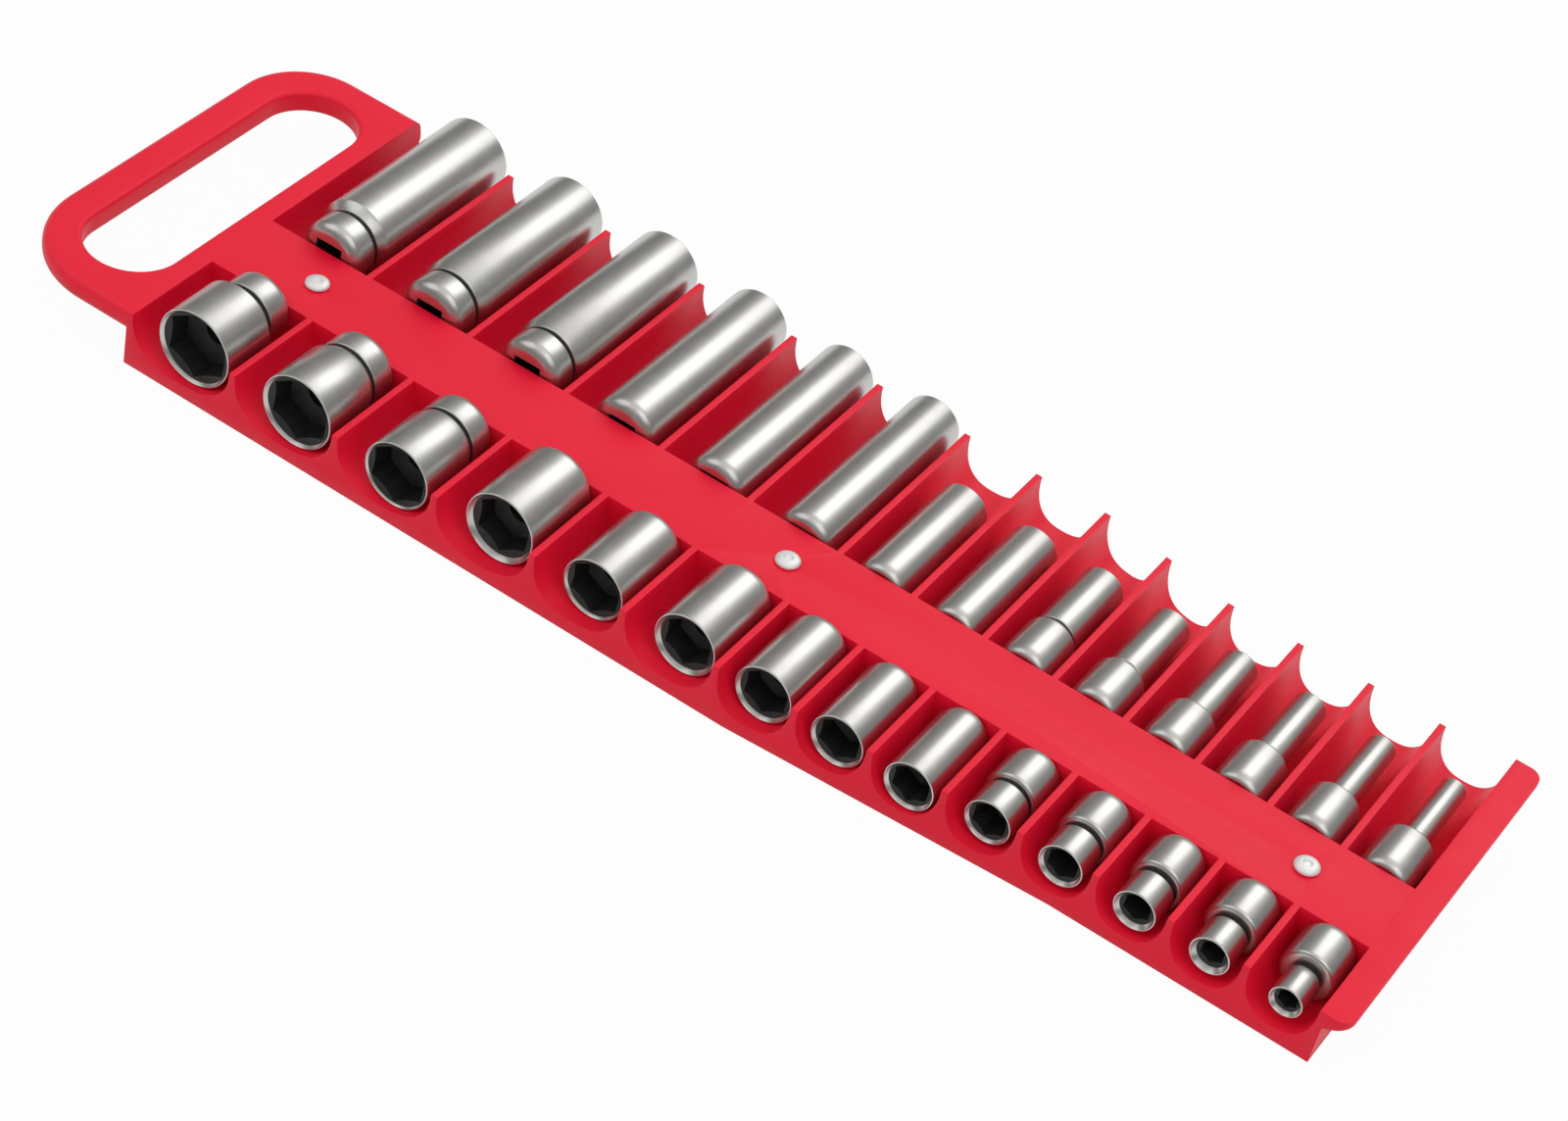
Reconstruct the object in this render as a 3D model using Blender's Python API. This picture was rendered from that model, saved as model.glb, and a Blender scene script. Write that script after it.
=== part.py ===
"""Socket rail: a moulded tray with a carrying handle that keeps two rows of quarter-inch drive
sockets in troughs, over two magnet strips that are set into its underside. Three rivets hold a steel
strip under the band between the rows.

Every size is in metres. X runs along the tray from the handle to the end flange, Y from the row of
shallow sockets to the row of deep sockets, and Z up. The part stands on its underside with the
middle of its box over the origin.
"""
import math

import bmesh
import bpy

# Heights of the moulded tray
TRAY_HEIGHT = 0.0142
TROUGH_FLOOR_HEIGHT = 0.0034
BAND_SKIN = 0.0022
HANDLE_THICKNESS = 0.0058
FLANGE_EDGE_THICKNESS = 0.0015
FLANGE_ROOT_THICKNESS = 0.0040

# Plan of the moulded tray, with Y measured from the middle of the band
BAND_WIDTH = 0.0206
FRONT_REACH = 0.0364
FRONT_WAIST = 0.0047
REAR_REACH = 0.0628
REAR_WAIST = 0.0058
RIB_THICKNESS = 0.0015
END_WALL = 0.0015
WAIST_CORNER_SHARES = (0.54, 0.80)
REAR_WAIST_CORNER_SHARES = (0.655, 0.765)

# Handle plate, with X measured from the wall of the first trough
HANDLE_REACH = 0.0375
HANDLE_REAR_STEP = 0.0018
HANDLE_FRONT_CORNER = 0.0220
HANDLE_REAR_CORNER = 0.0180
HANDLE_EDGE_ROUND = 0.0025
HANDLE_LAP = 0.0080
GRIP_WIDTH = 0.0092
SLOT_WIDTH = 0.0226
SLOT_FRONT_MARGIN = 0.0092
SLOT_REAR_MARGIN = 0.0086
SLOT_EDGE_ROUND = 0.0012

# End flange
FLANGE_REACH = 0.0066
FLANGE_REAR_STEP = 0.0020
FLANGE_CORNER = 0.0030
FLANGE_LAP = 0.0060

# Channel cored into the band's underside, and the steel strip in it
CHANNEL_WALL = 0.0020
CHANNEL_END_MARGIN = 0.0050
STRIP_THICKNESS = 0.0012
STRIP_SIDE_ROOM = 0.0010

# Rivets through the band and the steel strip
RIVET_SHARES = (0.0723, 0.5024, 0.9326)
RIVET_HEAD_DIAMETER = 0.0064
RIVET_HEAD_HEIGHT = 0.0010
RIVET_HEAD_EDGE = 0.0003
RIVET_DIMPLE_DIAMETER = 0.0018
RIVET_DIMPLE_DEPTH = 0.0004
RIVET_SHANK_DIAMETER = 0.0032
RIVET_TAIL_DIAMETER = 0.0048
RIVET_TAIL_LENGTH = 0.0022

# Room beside the sockets in their troughs, and how far they lean across it towards the flange
FINGER_ROOMS = (
    0.0076, 0.0080, 0.0074, 0.0066, 0.0067, 0.0066, 0.0034,
    0.0035, 0.0034, 0.0034, 0.0034, 0.0034, 0.0034, 0.0034,
)
WIDE_TROUGH_COUNT = 6
WIDE_LEAN_SHARE = 0.60
NARROW_LEAN_SHARE = 0.40
TROUGH_SECTION_POWER = 2.5

# Magnet strips and their pockets
MAGNET_THICKNESS = 0.0015
MAGNET_RECESS = 0.0002
MAGNET_EDGE = 0.0003
MAGNET_END_MARGIN = 0.0030
MAGNET_BAND_MARGIN = 0.0035
FRONT_MAGNET_MARGIN = 0.0029
REAR_MAGNET_MARGIN = 0.0052

# Sockets: the hexagons step down evenly through both rows
LARGEST_HEX = 0.0142875
HEX_STEP = 0.00079375
HEX_CLEARANCE = 0.0001
SHALLOW_NOSE_DIAMETERS = (
    0.0190, 0.0181, 0.0164, 0.0172, 0.0149, 0.0150, 0.0137,
    0.0126, 0.0117, 0.0107, 0.0101, 0.0096, 0.0090, 0.0074,
)
DEEP_NOSE_DIAMETERS = (
    0.0184, 0.0174, 0.0172, 0.0156, 0.0142, 0.0137, 0.0123,
    0.0119, 0.0105, 0.0095, 0.0086, 0.0077, 0.0068, 0.0060,
)
SHALLOW_GROOVED_DRIVE_DIAMETERS = (0.0150, 0.0162, 0.0154)
DEEP_GROOVED_DRIVE_DIAMETERS = (0.0156, 0.0160, 0.0156)
STEPPED_DRIVE_DIAMETER = 0.0122
SHALLOW_GROOVED_LENGTH = 0.0242
SHALLOW_STRAIGHT_LENGTH = 0.0223
SHALLOW_STEPPED_LENGTH = 0.0198
LONG_DEEP_LENGTH = 0.0540
SHORT_DEEP_LENGTH = 0.0354
LONG_DEEP_COUNT = 6
SHALLOW_GROOVED_DRIVE_LENGTH = 0.0075
DEEP_GROOVED_DRIVE_LENGTH = 0.0070
SHALLOW_STEPPED_DRIVE_LENGTH = 0.0112
DEEP_STEPPED_DRIVE_LENGTH = 0.0135
GROOVE_WIDTH = 0.0010
GROOVE_DEPTH = 0.0006
SHOULDER_LENGTH = 0.0020
STEP_EDGE_LENGTH = 0.0010
STEP_EDGE_SHARE = 0.5
SOCKET_EDGE = 0.0004
DRIVE_ROUND_SHARE = 0.70
DRIVE_ROUND_LENGTH = 0.0020
SQUARE_DRIVE = 0.00643
SQUARE_DEPTH = 0.0076
SHALLOW_HEX_DEPTH = 0.0070
DEEP_HEX_DEPTH = 0.0120
MOUTH_LEAD = 0.0006
MOUTH_FLARE_SHARE = 0.25
BORE_SHARE = 0.96
BORE_CONE = 0.0010
SOCKET_BAND_GAP = 0.0004

# Clearances and the overrun that takes each cutter past the face that it opens
SEAT_GAP = 0.0003
OVERRUN = 0.0030

# Facets
SOCKET_SIDES = 18
BORE_SIDES = 12
HEX_SIDES = 6
SQUARE_SIDES = 4
TROUGH_FACETS = 12
CORNER_FACETS = 8
EDGE_FACETS = 3
SLOT_END_FACETS = 16
DRIVE_ROUND_FACETS = 2
RIVET_SIDES = 16
ROUND_PROFILE_SHARE = 0.5
SMOOTH_ANGLE = math.radians(30)

# Colours and finishes
TRAY_COLOUR = (0.78, 0.014, 0.026, 1.0)
TRAY_ROUGHNESS = 0.28
MAGNET_COLOUR = (0.045, 0.040, 0.037, 1.0)
MAGNET_ROUGHNESS = 0.75
SOCKET_COLOUR = (0.56, 0.55, 0.52, 1.0)
SOCKET_ROUGHNESS = 0.26
RIVET_COLOUR = (0.86, 0.86, 0.86, 1.0)
RIVET_ROUGHNESS = 0.30
STRIP_COLOUR = (0.50, 0.51, 0.52, 1.0)
STRIP_ROUGHNESS = 0.45

SOCKET_COUNT = len(SHALLOW_NOSE_DIAMETERS)


class Socket:
    """The sizes of one socket, worked out from its row and its place in it."""

    def __init__(self, row, index):
        deep = row == "deep"
        noses = DEEP_NOSE_DIAMETERS if deep else SHALLOW_NOSE_DIAMETERS
        grooved = DEEP_GROOVED_DRIVE_DIAMETERS if deep else SHALLOW_GROOVED_DRIVE_DIAMETERS
        self.name = f"{row}_socket_{index + 1:02d}"
        self.row = row
        self.index = index
        self.hex_size = LARGEST_HEX - index * HEX_STEP
        self.nose_radius = noses[index] / 2
        if index < len(grooved):
            self.shape = "grooved"
            self.drive_radius = grooved[index] / 2
        elif noses[index] < STEPPED_DRIVE_DIAMETER - GROOVE_DEPTH:
            self.shape = "stepped"
            self.drive_radius = STEPPED_DRIVE_DIAMETER / 2
        else:
            self.shape = "straight"
            self.drive_radius = self.nose_radius
        self.length = self.deep_length() if deep else self.shallow_length()
        self.drive_length = self.drive_end_length()
        self.hex_depth = DEEP_HEX_DEPTH if deep else SHALLOW_HEX_DEPTH
        widest_bore = self.hex_size if deep else min(self.hex_size, SQUARE_DRIVE)
        self.bore_radius = widest_bore * BORE_SHARE / 2

    def deep_length(self):
        return LONG_DEEP_LENGTH if self.index < LONG_DEEP_COUNT else SHORT_DEEP_LENGTH

    def shallow_length(self):
        lengths = {
            "grooved": SHALLOW_GROOVED_LENGTH,
            "straight": SHALLOW_STRAIGHT_LENGTH,
            "stepped": SHALLOW_STEPPED_LENGTH,
        }
        return lengths[self.shape]

    def drive_end_length(self):
        if self.shape == "grooved":
            return DEEP_GROOVED_DRIVE_LENGTH if self.row == "deep" else SHALLOW_GROOVED_DRIVE_LENGTH
        if self.shape == "stepped":
            return DEEP_STEPPED_DRIVE_LENGTH if self.row == "deep" else SHALLOW_STEPPED_DRIVE_LENGTH
        return SQUARE_DEPTH

    def largest_radius(self):
        return max(self.nose_radius, self.drive_radius)

    def drive_end_profile(self):
        """The round of the drive end, which takes up most of the wall about the square."""
        wall = self.drive_radius - SQUARE_DRIVE / math.sqrt(2)
        points = []
        for step in range(DRIVE_ROUND_FACETS + 1):
            angle = math.pi / 2 * step / DRIVE_ROUND_FACETS
            radius = self.drive_radius - wall * DRIVE_ROUND_SHARE * (1 - math.sin(angle))
            points.append((radius, DRIVE_ROUND_LENGTH * (1 - math.cos(angle))))
        return points

    def outer_profile(self):
        """Radius and distance from the drive face, from the drive end to the nose."""
        nose = self.nose_radius
        drive = self.drive_radius
        end = [(nose, self.length - SOCKET_EDGE), (nose - SOCKET_EDGE, self.length)]
        groove_end = self.drive_length + GROOVE_WIDTH
        if self.shape == "grooved":
            neck = drive - GROOVE_DEPTH
            middle = [
                (drive, self.drive_length),
                (neck, self.drive_length),
                (neck, groove_end),
                (drive, groove_end),
                (nose, groove_end + SHOULDER_LENGTH),
            ]
        elif self.shape == "stepped":
            neck = nose - GROOVE_DEPTH
            edge = (drive - neck) * STEP_EDGE_SHARE
            middle = [
                (drive, self.drive_length - STEP_EDGE_LENGTH),
                (drive - edge, self.drive_length),
                (neck, self.drive_length),
                (neck, groove_end),
                (nose, groove_end),
            ]
        else:
            middle = []
        return self.drive_end_profile() + middle + end


def make_sockets(row):
    return [Socket(row, index) for index in range(SOCKET_COUNT)]


SHALLOW_SOCKETS = make_sockets("shallow")
DEEP_SOCKETS = make_sockets("deep")


def trough_widths():
    """Each trough is as wide as the thicker of its two sockets and room for a finger and thumb."""
    widths = []
    for index in range(SOCKET_COUNT):
        thickest = max(SHALLOW_SOCKETS[index].largest_radius(), DEEP_SOCKETS[index].largest_radius())
        widths.append(2 * thickest + FINGER_ROOMS[index])
    return widths


TROUGH_WIDTHS = trough_widths()
ROW_LENGTH = sum(TROUGH_WIDTHS) + (SOCKET_COUNT - 1) * RIB_THICKNESS


def trough_left(index):
    """Distance from the wall of the first trough to the left wall of another."""
    return sum(TROUGH_WIDTHS[:index]) + index * RIB_THICKNESS


def trough_middle(index):
    return trough_left(index) + TROUGH_WIDTHS[index] / 2


def socket_place(index):
    """Where the two sockets of a trough lie along the row: past its middle, towards the flange."""
    share = WIDE_LEAN_SHARE if index < WIDE_TROUGH_COUNT else NARROW_LEAN_SHARE
    return trough_middle(index) + FINGER_ROOMS[index] / 2 * share


def socket_axis_height(socket):
    """Each socket lies level on its thickest part, just clear of the trough floor."""
    return TROUGH_FLOOR_HEIGHT + SEAT_GAP + socket.largest_radius()


def handle_rear():
    """How far the handle, and with it the whole tray, reaches behind the middle of the band."""
    return REAR_REACH + HANDLE_REAR_STEP


def farthest_rear():
    nose_reaches = [SOCKET_REACH + socket.length for socket in DEEP_SOCKETS]
    return max(nose_reaches + [handle_rear()])


# Distance from the middle of the band to the drive faces of both rows
SOCKET_REACH = BAND_WIDTH / 2 + SOCKET_BAND_GAP

# Shifts from the row's own corner to the middle of the part's box
X_SHIFT = -(ROW_LENGTH + FLANGE_REACH - HANDLE_REACH) / 2
Y_SHIFT = -(farthest_rear() - FRONT_REACH) / 2


def clear_scene():
    for old in list(bpy.data.objects):
        bpy.data.objects.remove(old, do_unlink=True)


def make_material(name, colour, roughness, metallic):
    material = bpy.data.materials.new(name)
    material.use_nodes = True
    shader = material.node_tree.nodes["Principled BSDF"]
    shader.inputs["Base Color"].default_value = colour
    shader.inputs["Roughness"].default_value = roughness
    shader.inputs["Metallic"].default_value = metallic
    return material


def new_object(name, bm, material=None):
    """Turn a bmesh into an object with its faces pointing out and its round sides smooth."""
    bmesh.ops.recalc_face_normals(bm, faces=bm.faces)
    mesh = bpy.data.meshes.new(name)
    bm.to_mesh(mesh)
    bm.free()
    mesh.shade_smooth()
    mesh.set_sharp_from_angle(angle=SMOOTH_ANGLE)
    obj = bpy.data.objects.new(name, mesh)
    bpy.context.scene.collection.objects.link(obj)
    if material:
        mesh.materials.append(material)
    return obj


def combine(target, tool, operation):
    """Join or cut with an exact Boolean, keep its result as the mesh, and remove the tool."""
    tool.hide_render = True
    tool.display_type = "WIRE"
    modifier = target.modifiers.new(tool.name, "BOOLEAN")
    modifier.solver = "EXACT"
    modifier.operation = operation
    modifier.object = tool
    evaluated = target.evaluated_get(bpy.context.evaluated_depsgraph_get())
    result = bpy.data.meshes.new_from_object(evaluated)
    target.modifiers.clear()
    target.data = result
    bpy.data.objects.remove(tool, do_unlink=True)


def arc_points(centre_x, centre_y, radius, start_degrees, end_degrees, facets):
    points = []
    for step in range(facets + 1):
        angle = math.radians(start_degrees + (end_degrees - start_degrees) * step / facets)
        points.append((centre_x + radius * math.cos(angle), centre_y + radius * math.sin(angle)))
    return points


def inset_points(points, distance):
    """Move a closed counterclockwise outline inwards by one distance all round."""
    moved = []
    for index, (x, y) in enumerate(points):
        x_before, y_before = points[index - 1]
        x_after, y_after = points[(index + 1) % len(points)]
        before = math.atan2(y - y_before, x - x_before)
        after = math.atan2(y_after - y, x_after - x)
        turn = math.remainder(after - before, math.tau)
        normal = before + turn / 2 + math.pi / 2
        spread = distance / math.cos(turn / 2)
        moved.append((x + spread * math.cos(normal), y + spread * math.sin(normal)))
    return moved


def add_ring(bm, points, height):
    return [bm.verts.new((x, y, height)) for x, y in points]


def skin_rings(bm, lower, upper):
    """Close the wall between two rings that have the same number of points."""
    count = len(lower)
    for index in range(count):
        after = (index + 1) % count
        bm.faces.new((lower[index], lower[after], upper[after], upper[index]))


def add_outline_wall(bm, points, low, high, edge_round, inward):
    """A wall round an outline, with both its edges rounded. It returns its lowest and highest ring."""
    rings = []
    for step in range(EDGE_FACETS + 1):
        angle = math.pi / 2 * step / EDGE_FACETS
        inset = edge_round * (1 - math.sin(angle)) * inward
        rings.append((inset, low + edge_round * (1 - math.cos(angle))))
    for step in range(EDGE_FACETS + 1):
        angle = math.pi / 2 * step / EDGE_FACETS
        inset = edge_round * (1 - math.cos(angle)) * inward
        rings.append((inset, high - edge_round * (1 - math.sin(angle))))
    made = [add_ring(bm, inset_points(points, inset), height) for inset, height in rings]
    for lower, upper in zip(made, made[1:]):
        skin_rings(bm, lower, upper)
    return made[0], made[-1]


def fill_between(bm, outer, inner):
    """Fill the flat face between an outline and the hole in it."""
    edges = []
    for ring in (outer, inner):
        for index, vertex in enumerate(ring):
            edges.append(bm.edges.get((vertex, ring[(index + 1) % len(ring)])))
    bmesh.ops.triangle_fill(bm, use_beauty=True, edges=edges)


def prism(bm, points, low, high):
    """An upright prism on a closed outline."""
    lower = add_ring(bm, points, low)
    upper = add_ring(bm, points, high)
    skin_rings(bm, lower, upper)
    bm.faces.new(lower)
    bm.faces.new(upper)


def box(bm, x_low, x_high, y_low, y_high, z_low, z_high):
    corners = [(x_low, y_low), (x_high, y_low), (x_high, y_high), (x_low, y_high)]
    prism(bm, corners, z_low, z_high)


def body_outline():
    """Plan of the tray's body: both its long edges draw in towards the flange end."""
    left = -END_WALL
    right = ROW_LENGTH + END_WALL
    front_near, front_far = (ROW_LENGTH * share for share in WAIST_CORNER_SHARES)
    rear_near, rear_far = (ROW_LENGTH * share for share in REAR_WAIST_CORNER_SHARES)
    return [
        (left, -FRONT_REACH),
        (front_near, -FRONT_REACH),
        (front_far, FRONT_WAIST - FRONT_REACH),
        (right, FRONT_WAIST - FRONT_REACH),
        (right, REAR_REACH - REAR_WAIST),
        (rear_far, REAR_REACH - REAR_WAIST),
        (rear_near, REAR_REACH),
        (left, REAR_REACH),
    ]


def make_body():
    bm = bmesh.new()
    prism(bm, body_outline(), 0.0, TRAY_HEIGHT)
    return new_object("tray", bm)


def handle_outline():
    left = -HANDLE_REACH
    right = HANDLE_LAP
    front = HANDLE_FRONT_CORNER
    rear = HANDLE_REAR_CORNER
    points = [(right, handle_rear())]
    points += arc_points(left + rear, handle_rear() - rear, rear, 90, 180, CORNER_FACETS)
    points += arc_points(left + front, front - FRONT_REACH, front, 180, 270, CORNER_FACETS)
    points.append((right, -FRONT_REACH))
    return points


def slot_outline():
    """The hand slot: straight sides and full round ends."""
    radius = SLOT_WIDTH / 2
    middle = GRIP_WIDTH + radius - HANDLE_REACH
    rear = handle_rear() - SLOT_REAR_MARGIN - radius
    front = SLOT_FRONT_MARGIN + radius - FRONT_REACH
    rear_end = arc_points(middle, rear, radius, 0, 180, SLOT_END_FACETS)
    front_end = arc_points(middle, front, radius, 180, 360, SLOT_END_FACETS)
    return rear_end + front_end


def make_handle():
    bm = bmesh.new()
    low = TRAY_HEIGHT - HANDLE_THICKNESS
    outer = add_outline_wall(bm, handle_outline(), low, TRAY_HEIGHT, HANDLE_EDGE_ROUND, 1)
    inner = add_outline_wall(bm, slot_outline(), low, TRAY_HEIGHT, SLOT_EDGE_ROUND, -1)
    fill_between(bm, outer[0], inner[0])
    fill_between(bm, outer[1], inner[1])
    return new_object("handle_plate", bm)


def make_flange():
    """A ledge along the end of the tray, thin at its edge and thick at the wall that carries it."""
    tip = ROW_LENGTH + FLANGE_REACH
    root = ROW_LENGTH + END_WALL
    start = ROW_LENGTH - FLANGE_LAP
    section = [
        (start, TRAY_HEIGHT - FLANGE_ROOT_THICKNESS),
        (root, TRAY_HEIGHT - FLANGE_ROOT_THICKNESS),
        (tip, TRAY_HEIGHT - FLANGE_EDGE_THICKNESS),
        (tip, TRAY_HEIGHT),
        (start, TRAY_HEIGHT),
    ]
    bm = bmesh.new()
    front = [bm.verts.new((x, FRONT_WAIST - FRONT_REACH, z)) for x, z in section]
    rear = [bm.verts.new((x, REAR_REACH - REAR_WAIST + FLANGE_REAR_STEP, z)) for x, z in section]
    skin_rings(bm, front, rear)
    bm.faces.new(front)
    bm.faces.new(rear)
    corners = []
    for ring in (front, rear):
        corners.append(bm.edges.get((ring[2], ring[3])))
    bmesh.ops.bevel(
        bm, geom=corners, offset=FLANGE_CORNER, segments=EDGE_FACETS, profile=ROUND_PROFILE_SHARE, affect="EDGES"
    )
    return new_object("end_flange", bm)


def trough_section(width):
    """Half outline of a trough's hollow: straight at the rim and flat at the bottom."""
    depth = TRAY_HEIGHT - TROUGH_FLOOR_HEIGHT
    points = []
    for step in range(TROUGH_FACETS + 1):
        angle = math.pi * step / TROUGH_FACETS
        across = math.copysign(abs(math.cos(angle)) ** (2 / TROUGH_SECTION_POWER), math.cos(angle))
        down = math.sin(angle) ** (2 / TROUGH_SECTION_POWER)
        points.append((-across * width / 2, TRAY_HEIGHT - down * depth))
    points.append((width / 2, TRAY_HEIGHT + OVERRUN))
    points.append((-width / 2, TRAY_HEIGHT + OVERRUN))
    return points


def make_trough_cutter(side):
    """All the hollows of one row. side is -1 for the front row and 1 for the rear row."""
    reach = FRONT_REACH if side < 0 else handle_rear()
    bm = bmesh.new()
    for index in range(SOCKET_COUNT):
        middle = trough_middle(index)
        section = trough_section(TROUGH_WIDTHS[index])
        near = [bm.verts.new((middle + x, side * BAND_WIDTH / 2, z)) for x, z in section]
        far = [bm.verts.new((middle + x, side * (reach + OVERRUN), z)) for x, z in section]
        skin_rings(bm, near, far)
        bm.faces.new(near)
        bm.faces.new(far)
    return new_object("trough_cutter", bm)


def rivet_places():
    return [ROW_LENGTH * share for share in RIVET_SHARES]


def make_rivet_hole_cutter():
    """Round holes for the rivets' shanks, through the band and whatever lies under it."""
    bm = bmesh.new()
    for place in rivet_places():
        radius = RIVET_SHANK_DIAMETER / 2 + SEAT_GAP
        points = arc_points(place, 0.0, radius, 0, 360, RIVET_SIDES)[:-1]
        prism(bm, points, 0.0, TRAY_HEIGHT + OVERRUN)
    return new_object("rivet_hole_cutter", bm)


def make_channel_cutter():
    half_width = BAND_WIDTH / 2 - CHANNEL_WALL
    bm = bmesh.new()
    far = ROW_LENGTH - CHANNEL_END_MARGIN
    box(bm, CHANNEL_END_MARGIN, far, -half_width, half_width, -OVERRUN, TRAY_HEIGHT - BAND_SKIN)
    return new_object("channel_cutter", bm)


def magnet_box(side):
    """X and Y limits of one magnet strip: it lies between the band and the tray's waist."""
    far = FRONT_REACH - FRONT_WAIST - FRONT_MAGNET_MARGIN
    if side > 0:
        far = REAR_REACH - REAR_WAIST - REAR_MAGNET_MARGIN
    near = BAND_WIDTH / 2 + MAGNET_BAND_MARGIN
    edges = sorted((side * near, side * far))
    return MAGNET_END_MARGIN, ROW_LENGTH - MAGNET_END_MARGIN, edges[0], edges[1]


def make_pocket_cutter():
    bm = bmesh.new()
    for side in (-1, 1):
        x_low, x_high, y_low, y_high = magnet_box(side)
        depth = MAGNET_RECESS + MAGNET_THICKNESS + SEAT_GAP
        box(bm, x_low - SEAT_GAP, x_high + SEAT_GAP, y_low - SEAT_GAP, y_high + SEAT_GAP, -OVERRUN, depth)
    return new_object("pocket_cutter", bm)


def make_tray(material):
    tray = make_body()
    combine(tray, make_handle(), "UNION")
    combine(tray, make_flange(), "UNION")
    combine(tray, make_trough_cutter(-1), "DIFFERENCE")
    combine(tray, make_trough_cutter(1), "DIFFERENCE")
    combine(tray, make_channel_cutter(), "DIFFERENCE")
    combine(tray, make_rivet_hole_cutter(), "DIFFERENCE")
    combine(tray, make_pocket_cutter(), "DIFFERENCE")
    mesh = tray.data
    mesh.materials.clear()
    mesh.materials.append(material)
    mesh.shade_smooth()
    mesh.set_sharp_from_angle(angle=SMOOTH_ANGLE)
    tray.location = (X_SHIFT, Y_SHIFT, 0.0)
    return tray


def make_magnet(name, side, material):
    x_low, x_high, y_low, y_high = magnet_box(side)
    bm = bmesh.new()
    box(bm, x_low, x_high, y_low, y_high, MAGNET_RECESS, MAGNET_RECESS + MAGNET_THICKNESS)
    upright = [edge for edge in bm.edges if abs(edge.verts[0].co.z - edge.verts[1].co.z) > MAGNET_EDGE]
    bmesh.ops.bevel(bm, geom=upright, offset=MAGNET_EDGE, segments=1, profile=ROUND_PROFILE_SHARE, affect="EDGES")
    magnet = new_object(name, bm, material)
    magnet.location = (X_SHIFT, Y_SHIFT, 0.0)
    return magnet


def strip_top():
    """Height of the steel strip's upper side, just under the band."""
    return TRAY_HEIGHT - BAND_SKIN - SEAT_GAP


def make_steel_strip(material):
    half_width = BAND_WIDTH / 2 - CHANNEL_WALL - STRIP_SIDE_ROOM
    near = CHANNEL_END_MARGIN + STRIP_SIDE_ROOM
    far = ROW_LENGTH - near
    bm = bmesh.new()
    box(bm, near, far, -half_width, half_width, strip_top() - STRIP_THICKNESS, strip_top())
    strip = new_object("steel_strip", bm, material)
    combine(strip, make_rivet_hole_cutter(), "DIFFERENCE")
    strip.location = (X_SHIFT, Y_SHIFT, 0.0)
    return strip


def rivet_profile():
    """Radius and height of a blind rivet's outside, from the dimple in its head to its tail."""
    head = RIVET_HEAD_DIAMETER / 2
    seat = TRAY_HEIGHT + SEAT_GAP
    top = seat + RIVET_HEAD_HEIGHT
    tail = strip_top() - STRIP_THICKNESS - SEAT_GAP
    middle_radius = (RIVET_DIMPLE_DIAMETER / 2 + head) / 2
    return [
        (RIVET_DIMPLE_DIAMETER / 2, top - RIVET_DIMPLE_DEPTH),
        (RIVET_DIMPLE_DIAMETER / 2, top),
        (middle_radius, top - RIVET_HEAD_EDGE),
        (head, seat + RIVET_HEAD_EDGE),
        (head, seat),
        (RIVET_SHANK_DIAMETER / 2, seat),
        (RIVET_SHANK_DIAMETER / 2, tail),
        (RIVET_TAIL_DIAMETER / 2, tail),
        (RIVET_SHANK_DIAMETER / 2, tail - RIVET_TAIL_LENGTH),
    ]


def make_rivet(name, place, material):
    bm = bmesh.new()
    rings = []
    for radius, height in rivet_profile():
        rings.append(add_ring(bm, arc_points(0.0, 0.0, radius, 0, 360, RIVET_SIDES)[:-1], height))
    for upper, lower in zip(rings, rings[1:]):
        skin_rings(bm, upper, lower)
    bm.faces.new(rings[0])
    bm.faces.new(rings[-1])
    rivet = new_object(name, bm, material)
    rivet.location = (X_SHIFT + place, Y_SHIFT, 0.0)
    return rivet


def round_ring(bm, radius, along, sides):
    """A ring about the Y axis with one of its points straight down."""
    ring = []
    for step in range(sides):
        angle = math.tau * step / sides - math.pi / 2
        ring.append(bm.verts.new((radius * math.cos(angle), along, radius * math.sin(angle))))
    return ring


def join_rings(bm, first, second):
    """Skin the surface between two rings about the Y axis that may differ in their point counts."""
    def angles(ring):
        return [math.atan2(vertex.co.z, vertex.co.x) for vertex in ring]

    def ordered(ring):
        start = angles(ring).index(min(angles(ring)))
        return ring[start:] + ring[:start]

    first = ordered(first)
    second = ordered(second)
    first_angles = angles(first) + [angles(first)[0] + math.tau]
    second_angles = angles(second) + [angles(second)[0] + math.tau]
    i = 0
    j = 0
    while i < len(first) or j < len(second):
        step_first = j == len(second) or (i < len(first) and first_angles[i + 1] <= second_angles[j + 1])
        a = first[i % len(first)]
        b = second[j % len(second)]
        if step_first:
            i += 1
            bm.faces.new((a, first[i % len(first)], b))
        else:
            j += 1
            bm.faces.new((a, second[j % len(second)], b))


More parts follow.
